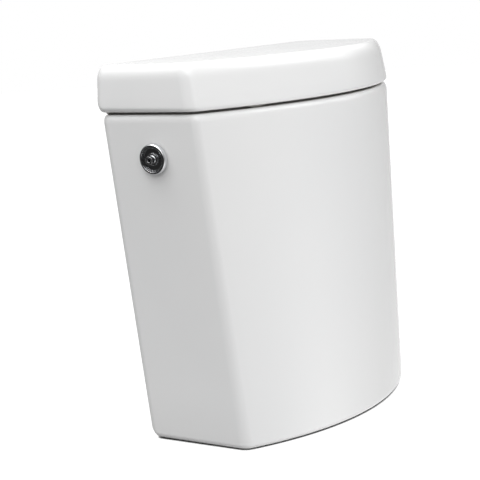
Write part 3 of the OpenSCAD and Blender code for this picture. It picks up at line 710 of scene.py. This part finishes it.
# Fill valve's body with its threaded tail
def make_fill_body():
    profile = threaded_tail(INLET_R, INLET_BORE_R, INLET_RELIEF_Z, INLET_PITCH, INLET_THREAD_DEPTH)
    upper = [(INLET_R, RECESS_HEIGHT), (INLET_R, FILL_Z), (FILL_FLANGE_R, FILL_Z)]
    upper += [(FILL_FLANGE_R, FILL_FLANGE_TOP), (RISER_R, FILL_FLANGE_TOP), (RISER_R, RISER_TOP)]
    upper += [(INLET_BORE_R, RISER_TOP), (INLET_BORE_R, TAIL_END)]
    profile += eased(upper, EDGE_ROUND["white_plastic"])[1:-1]
    made = lathe("fill_valve_moulding", profile, BODY_STEPS, closed=True)
    made.data.transform(Matrix.Scale(MM, 4) @ Matrix.Translation((FILL_X, FILL_Y, 0)))
    put_in_place(made, "fill_valve_body")


def window_cutter(turn):
    """Bar through the cage with rounded edges, so that the windows get rounded corners."""
    bm = bmesh.new()
    size = (3 * CAGE_R, WINDOW_WIDTH, WINDOW_TOP - WINDOW_LOW)
    middle = Matrix.Translation((0, 0, (WINDOW_LOW + WINDOW_TOP) / 2))
    spin = Matrix.Rotation(turn, 4, "Z")
    bmesh.ops.create_cube(bm, size=1, matrix=Matrix.Diagonal((*size, 1)))
    along = [edge for edge in bm.edges if edge.calc_length() > 2 * CAGE_R]
    bmesh.ops.bevel(bm, geom=along, offset=WINDOW_CORNER_R, segments=WINDOW_CORNER_STEPS,
                    profile=ROUND_PROFILE, affect="EDGES")
    bm.transform(middle @ spin)
    return mesh_object("window", bm)


# Cage over the valve's seat, with four windows and a ring of vents in its deck
def make_cage():
    corners = [(CAGE_IN_R, CAGE_LOW), (CAGE_R, CAGE_LOW), (CAGE_R, CAGE_DECK_TOP)]
    corners += [(CAGE_COLLAR_R, CAGE_DECK_TOP), (CAGE_COLLAR_R, CAGE_COLLAR_TOP)]
    corners += [(CAGE_GUIDE_R, CAGE_COLLAR_TOP), (CAGE_GUIDE_R, CAGE_DECK_LOW)]
    corners += [(CAGE_IN_R, CAGE_DECK_LOW), (CAGE_IN_R, CAGE_LOW)]
    made = lathe("cage_moulding", eased(corners, CAGE_EDGE)[:-1], FINE_STEPS, closed=True)
    made.data.transform(Matrix.Rotation(math.pi / FINE_STEPS, 4, "Z"))
    cutters = [window_cutter(0), window_cutter(math.pi / 2)]
    vent_reach = (CAGE_DECK_LOW - VENT_PAST, CAGE_DECK_TOP + VENT_PAST)
    for k in range(VENTS):
        angle = 2 * math.pi * k / VENTS
        place = (VENT_PLACE * math.cos(angle), VENT_PLACE * math.sin(angle), 0)
        cutters.append(plain_cutter("vent", VENT_R, vent_reach, place, (0, 0, 1)))
    combine(made, cutters, "DIFFERENCE")
    made.data.transform(Matrix.Scale(MM, 4))
    put_in_place(made, "flush_cage")


# Brass rod with a thread for the float's nuts and a cross pin for the lever's fork
def make_rod():
    width = EDGE_ROUND["brass"]
    profile = [(0, ROD_LOW), (ROD_R - ROD_THREAD_DEPTH, ROD_LOW)]
    profile += thread(ROD_R, ROD_LOW, ROD_THREAD_TOP, ROD_PITCH, ROD_THREAD_DEPTH)
    profile += eased([(ROD_R, ROD_THREAD_TOP), (ROD_R, ROD_TOP), (0, ROD_TOP)], width)[1:]
    made = lathe("threaded_rod", profile, ROD_STEPS)
    ends = [(0, -ROD_PIN_HALF), (ROD_PIN_R, -ROD_PIN_HALF), (ROD_PIN_R, ROD_PIN_HALF), (0, ROD_PIN_HALF)]
    pin = lathe("cross_pin", eased(ends, width), ROD_STEPS)
    pin.data.transform(Matrix.Translation((0, 0, ROD_PIN_Z)) @ Matrix.Rotation(math.pi / 2, 4, "X"))
    combine(made, [pin], "UNION")
    made.data.transform(Matrix.Scale(MM, 4) @ Matrix.Translation((ROD_X, FILL_Y, 0)))
    put_in_place(made, "float_rod")


def make_eased(name):
    """Copy of an inner piece with its sharp edges rounded, in the place of the plain solid."""
    node = nodes[name]
    bm = bmesh.new()
    bm.from_mesh(node.data)
    bm.transform(node.matrix_world)
    bmesh.ops.remove_doubles(bm, verts=bm.verts, dist=SHORTEST_EDGE * MM)
    bmesh.ops.dissolve_limit(bm, angle_limit=FLAT_ANGLE, verts=bm.verts, edges=bm.edges)
    least = LONG_EDGE * MM if name in ONLY_LONG_EDGES else 0
    sharp = []
    for edge in bm.edges:
        if edge.calc_face_angle() > SHARP_ANGLE and edge.calc_length() > least:
            sharp.append(edge)
    bmesh.ops.bevel(bm, geom=sharp, offset=EDGE_ROUND[slots[name]] * MM, offset_type="OFFSET",
                    segments=CORNER_STEPS, profile=ROUND_PROFILE, affect="EDGES")
    put_in_place(mesh_object(name + "_eased", bm), name)


# The part of a noise's range that colour and roughness are spread over
NOISE_LOW = 0.3
NOISE_HIGH = 0.7


# Material helpers
def new_material(name):
    material = bpy.data.materials.new(name)
    material.use_nodes = True
    tree = material.node_tree
    return material, tree, tree.nodes["Principled BSDF"]


def add(tree, kind, **values):
    made = tree.nodes.new(kind)
    for key, value in values.items():
        setattr(made, key, value)
    return made


def noise(tree, scale, detail, stretch=(1, 1, 1)):
    place = add(tree, "ShaderNodeTexCoord")
    spread = add(tree, "ShaderNodeMapping")
    spread.inputs["Scale"].default_value = stretch
    made = add(tree, "ShaderNodeTexNoise")
    made.inputs["Scale"].default_value = scale
    made.inputs["Detail"].default_value = detail
    tree.links.new(place.outputs["Object"], spread.inputs["Vector"])
    tree.links.new(spread.outputs["Vector"], made.inputs["Vector"])
    return made


def vary_colour(tree, shader, source, low, high):
    ramp = add(tree, "ShaderNodeValToRGB")
    ramp.color_ramp.elements[0].position = NOISE_LOW
    ramp.color_ramp.elements[1].position = NOISE_HIGH
    ramp.color_ramp.elements[0].color = (*low, 1)
    ramp.color_ramp.elements[1].color = (*high, 1)
    tree.links.new(source.outputs["Fac"], ramp.inputs["Fac"])
    tree.links.new(ramp.outputs["Color"], shader.inputs["Base Color"])


def vary_roughness(tree, shader, source, low, high):
    ranged = add(tree, "ShaderNodeMapRange")
    ranged.inputs["From Min"].default_value = NOISE_LOW
    ranged.inputs["From Max"].default_value = NOISE_HIGH
    ranged.inputs["To Min"].default_value = low
    ranged.inputs["To Max"].default_value = high
    tree.links.new(source.outputs["Fac"], ranged.inputs["Value"])
    tree.links.new(ranged.outputs["Result"], shader.inputs["Roughness"])


def bump(tree, shader, layers):
    """Bump from several (source, strength, height in metres) layers, each on the one before."""
    before = None
    for source, strength, height in layers:
        layer = add(tree, "ShaderNodeBump")
        layer.inputs["Strength"].default_value = strength
        layer.inputs["Distance"].default_value = height
        tree.links.new(source.outputs["Fac"], layer.inputs["Height"])
        if before is not None:
            tree.links.new(before.outputs["Normal"], layer.inputs["Normal"])
        before = layer
    tree.links.new(before.outputs["Normal"], shader.inputs["Normal"])


# Materials
def make_china():
    material, tree, shader = new_material("vitreous_china")
    vary_colour(tree, shader, noise(tree, scale=5, detail=3),
                low=(0.80, 0.803, 0.805), high=(0.822, 0.822, 0.82))
    vary_roughness(tree, shader, noise(tree, scale=30, detail=4), low=0.045, high=0.085)
    waves = (noise(tree, scale=11, detail=1), 0.5, 0.0006)
    peel = (noise(tree, scale=260, detail=2), 0.12, 0.0001)
    bump(tree, shader, [waves, peel])
    shader.inputs["IOR"].default_value = 1.52
    return material


def make_bare_china():
    material, tree, shader = new_material("bare_china")
    vary_colour(tree, shader, noise(tree, scale=40, detail=5),
                low=(0.50, 0.485, 0.46), high=(0.60, 0.585, 0.56))
    vary_roughness(tree, shader, noise(tree, scale=300, detail=3), low=0.75, high=0.9)
    bump(tree, shader, [(noise(tree, scale=500, detail=4), 0.4, 0.0001)])
    return material


def make_metal(name, low, high, rough, grain, stretch=(1, 1, 1)):
    material, tree, shader = new_material(name)
    vary_colour(tree, shader, noise(tree, scale=40, detail=3), low, high)
    scratches = noise(tree, scale=grain, detail=4, stretch=stretch)
    vary_roughness(tree, shader, scratches, *rough)
    bump(tree, shader, [(scratches, 0.05, 0.00005)])
    shader.inputs["Metallic"].default_value = 1.0
    return material


def make_plastic(name, low, high, rough):
    material, tree, shader = new_material(name)
    vary_colour(tree, shader, noise(tree, scale=25, detail=4), low, high)
    vary_roughness(tree, shader, noise(tree, scale=90, detail=3), *rough)
    sinks = (noise(tree, scale=60, detail=2), 0.2, 0.0002)
    grain = (noise(tree, scale=1500, detail=2), 0.15, 0.00003)
    bump(tree, shader, [sinks, grain])
    shader.inputs["IOR"].default_value = 1.49
    return material


def make_rubber(name, low, high):
    material, tree, shader = new_material(name)
    vary_colour(tree, shader, noise(tree, scale=60, detail=5), low, high)
    vary_roughness(tree, shader, noise(tree, scale=200, detail=3), low=0.5, high=0.72)
    bump(tree, shader, [(noise(tree, scale=900, detail=3), 0.3, 0.00006)])
    shader.inputs["Specular IOR Level"].default_value = 0.35
    return material


# Finishes: low and high are the two colours that each one varies between
finishes = {
    "vitreous_china": make_china(),
    "bare_china": make_bare_china(),
    "chrome": make_metal("chrome", low=(0.70, 0.71, 0.73), high=(0.76, 0.77, 0.78),
                         rough=(0.04, 0.09), grain=350),
    "steel": make_metal("steel", low=(0.50, 0.50, 0.49), high=(0.60, 0.60, 0.58),
                        rough=(0.25, 0.42), grain=500, stretch=(1, 6, 6)),
    "brass": make_metal("brass", low=(0.70, 0.53, 0.24), high=(0.80, 0.64, 0.33),
                        rough=(0.18, 0.34), grain=450, stretch=(1, 1, 5)),
    "black_rubber": make_rubber("black_rubber", low=(0.018, 0.018, 0.019), high=(0.035, 0.035, 0.036)),
    "red_rubber": make_rubber("red_rubber", low=(0.45, 0.06, 0.04), high=(0.54, 0.085, 0.055)),
    "white_plastic": make_plastic("white_plastic", low=(0.78, 0.78, 0.75), high=(0.84, 0.84, 0.81),
                                  rough=(0.28, 0.42)),
    "blue_plastic": make_plastic("blue_plastic", low=(0.10, 0.21, 0.36), high=(0.14, 0.26, 0.42),
                                 rough=(0.26, 0.40)),
    "grey_plastic": make_plastic("grey_plastic", low=(0.30, 0.31, 0.32), high=(0.36, 0.37, 0.38),
                                 rough=(0.38, 0.55)),
}


# Finish of the solids, and the pieces that stand for them
for name, slot in slots.items():
    finish_with(nodes[name], slot)

make_tank()
make_lid()
make_bush()
make_flush_base()
make_cage()
make_fill_body()
make_rod()

# The other pieces are their own solids with rounded edges
own_shape = ("tank", "lid", "lever_bush", "flush_valve_base", "flush_cage", "fill_valve_body", "float_rod")
for name in slots:
    if name not in own_shape:
        make_eased(name)

# Black card beside the bush: way towards its middle, distance in metres, half its angle and its rows
CARD_WAY = (-0.97, -0.08, -0.15)
CARD_DISTANCE = 0.4
CARD_ANGLE = math.radians(55)
CARD_ROWS = 24

# Plate under the standing rim, in millimetres
PLATE_IN = 2.5
PLATE_BELOW = 0.8

# Floor, in metres, with its glow and a painted shadow: the glow dims to a thin dark line where the tank
# stands on it
FLOOR_R = 6.0
FLOOR_STEPS = 96
FLOOR_BELOW = 0.0005
FLOOR_GLOW = 0.95
PAINTED_SHADOW_REACH = 0.003
PAINTED_SHADOW_DARK = 0.25
PAINTED_SHADOW_CLEAR = 0.6


# Plain pale floor, with a painted contact shadow in its glow
def make_floor():
    bm = bmesh.new()
    outer = []
    for k in range(FLOOR_STEPS):
        angle = 2 * math.pi * k / FLOOR_STEPS
        outer.append(bm.verts.new((FLOOR_R * math.cos(angle), FLOOR_R * math.sin(angle), 0)))
    bm.faces.new(outer)
    made = mesh_object("studio_floor", bm)
    made.location.z = -FLOOR_BELOW
    material, tree, shader = new_material("studio_floor")
    vary_colour(tree, shader, noise(tree, scale=2, detail=2),
                low=(0.12, 0.12, 0.12), high=(0.13, 0.13, 0.13))
    shader.inputs["Roughness"].default_value = 0.9
    shader.inputs["Specular IOR Level"].default_value = 0.0
    shader.inputs["Emission Color"].default_value = (1, 1, 1, 1)
    # Painted shadow: ambient occlusion near the tank turns the floor's glow down
    hollow = add(tree, "ShaderNodeAmbientOcclusion", samples=8)
    hollow.inputs["Distance"].default_value = PAINTED_SHADOW_REACH
    glow_with_painted_shadow = add(tree, "ShaderNodeMapRange")
    glow_with_painted_shadow.inputs["From Min"].default_value = PAINTED_SHADOW_DARK
    glow_with_painted_shadow.inputs["From Max"].default_value = PAINTED_SHADOW_CLEAR
    glow_with_painted_shadow.inputs["To Max"].default_value = FLOOR_GLOW
    tree.links.new(hollow.outputs["AO"], glow_with_painted_shadow.inputs["Value"])
    tree.links.new(glow_with_painted_shadow.outputs["Result"], shader.inputs["Emission Strength"])
    made.data.materials.append(material)
    made.visible_diffuse = False
    made.visible_glossy = False
    made.visible_shadow = False


def make_card_finish():
    material, tree, shader = new_material("card_black")
    vary_colour(tree, shader, noise(tree, scale=20, detail=2),
                low=(0.022, 0.022, 0.022), high=(0.028, 0.028, 0.028))
    shader.inputs["Roughness"].default_value = 1.0
    shader.inputs["Specular IOR Level"].default_value = 0.0
    return material


def make_shadow_plate():
    """Plate under the standing rim that keeps the light off the lowest edge, as the floor does."""
    bm = bmesh.new()
    bm.faces.new([bm.verts.new(point) for point in ring(inset(tank_sizes(0), PLATE_IN), -PLATE_BELOW)])
    made = mesh_object("shadow_plate", bm)
    made.data.materials.append(make_card_finish())
    made.visible_camera = False


def make_black_card():
    """Part of a dome on the left that is seen in reflections only, so that the chrome has a dark side."""
    profile = []
    for angle in between(0, CARD_ANGLE, CARD_ROWS):
        profile.append((CARD_DISTANCE * math.sin(angle), CARD_DISTANCE * math.cos(angle)))
    made = lathe("black_card", profile)
    made.data.transform(towards(on_side().translation, CARD_WAY))
    made.data.materials.append(make_card_finish())
    made.visible_camera = False
    made.visible_diffuse = False
    made.visible_shadow = False


make_floor()
make_shadow_plate()
make_black_card()


# Soft studio light: name, way towards it, how narrow it is and its radiance
AMBIENT = 0.18
SOFT_LIGHTS = [
    ("overhead_softbox", (-0.25, -0.03, 0.97), 14, 3.6),
    ("overhead_strip", (-0.10, 0.30, 0.95), 30, 8.2),
    ("key_softbox", (-0.67, -0.49, 0.56), 8, 2.5),
    ("window_on_the_right", (0.88, 0.05, 0.46), 40, 1.6),
    ("window_in_front", (0.40, -0.70, 0.60), 60, 3.0),
    ("window_front_right", (0.63, -0.58, 0.52), 60, 3.4),
    ("window_at_the_corner", (0.85, -0.38, 0.35), 60, 1.7),
    ("window_at_the_back", (-0.54, 0.60, 0.60), 30, 2.0),
    ("white_wall_behind", (0.71, 0.70, -0.03), 8, 0.6),
    ("white_table_in_front", (0.45, -0.74, -0.51), 14, 2.3),
    ("white_table_below", (-0.25, -0.55, -0.80), 8, 0.8),
    ("white_table_on_the_right", (0.67, 0.13, -0.73), 8, 1.8),
]


def calculate(tree, operation, first, second):
    made = add(tree, "ShaderNodeMath", operation=operation)
    for value, socket in zip((first, second), made.inputs):
        if isinstance(value, (int, float)):
            socket.default_value = value
        else:
            tree.links.new(value, socket)
    return made.outputs["Value"]


def make_world():
    """Plain white for the camera, and the sum of the soft lights for everything else."""
    world = bpy.data.worlds.new("studio")
    bpy.context.scene.world = world
    world.use_nodes = True
    tree = world.node_tree
    way = add(tree, "ShaderNodeTexCoord")
    total = AMBIENT
    for name, direction, narrow, radiance in SOFT_LIGHTS:
        facing = add(tree, "ShaderNodeVectorMath", operation="DOT_PRODUCT", label=name)
        facing.inputs[1].default_value = Vector(direction).normalized()
        tree.links.new(way.outputs["Generated"], facing.inputs[0])
        in_front = calculate(tree, "MAXIMUM", facing.outputs["Value"], 0.0)
        lobe = calculate(tree, "POWER", in_front, narrow)
        total = calculate(tree, "ADD", calculate(tree, "MULTIPLY", lobe, radiance), total)
    room = tree.nodes["Background"]
    room.inputs["Color"].default_value = (1, 1, 1, 1)
    tree.links.new(total, room.inputs["Strength"])
    seen = add(tree, "ShaderNodeBackground")
    seen.inputs["Color"].default_value = (1, 1, 1, 1)
    seen.inputs["Strength"].default_value = 1.0
    path = add(tree, "ShaderNodeLightPath")
    mix = add(tree, "ShaderNodeMixShader")
    tree.links.new(path.outputs["Is Camera Ray"], mix.inputs["Fac"])
    tree.links.new(room.outputs["Background"], mix.inputs[1])
    tree.links.new(seen.outputs["Background"], mix.inputs[2])
    tree.links.new(mix.outputs["Shader"], tree.nodes["World Output"].inputs["Surface"])


make_world()

# Camera at the photo's viewing angle; offsets and focal length are in pixels of a 480 pixel square
AZIMUTH = math.radians(-57.208)
ELEVATION = math.radians(9.971)
DISTANCE = 1.63134
ROLL = math.radians(3.5618)
FOCAL = 1517.1
HALF_IMAGE = 240.0
AIM_RIGHT = -33.05
AIM_UP = 13.336
LOOK_ROUND = Vector((0, 0.022, 0.1675))


def make_camera():
    back = Vector((math.sin(AZIMUTH) * math.cos(ELEVATION),
                   -math.cos(AZIMUTH) * math.cos(ELEVATION),
                   math.sin(ELEVATION)))
    up = Vector((0, 0, 1))
    forward = -back
    right = forward.cross(up).normalized()
    aim_up = right.cross(forward)
    forward = (forward + right * (AIM_RIGHT / FOCAL) + aim_up * (AIM_UP / FOCAL)).normalized()
    right = forward.cross(up).normalized()
    level_up = right.cross(forward)
    turned_right = right * math.cos(ROLL) - level_up * math.sin(ROLL)
    turned_up = right * math.sin(ROLL) + level_up * math.cos(ROLL)
    data = bpy.data.cameras.new("camera")
    data.sensor_fit = "HORIZONTAL"
    data.angle = 2 * math.atan(HALF_IMAGE / FOCAL)
    camera = bpy.data.objects.new("camera", data)
    bpy.context.scene.collection.objects.link(camera)
    turn = Matrix((turned_right, turned_up, -forward)).transposed().to_4x4()
    camera.matrix_world = Matrix.Translation(LOOK_ROUND + back * DISTANCE) @ turn
    bpy.context.scene.camera = camera


make_camera()
bpy.context.scene.view_settings.view_transform = "Standard"
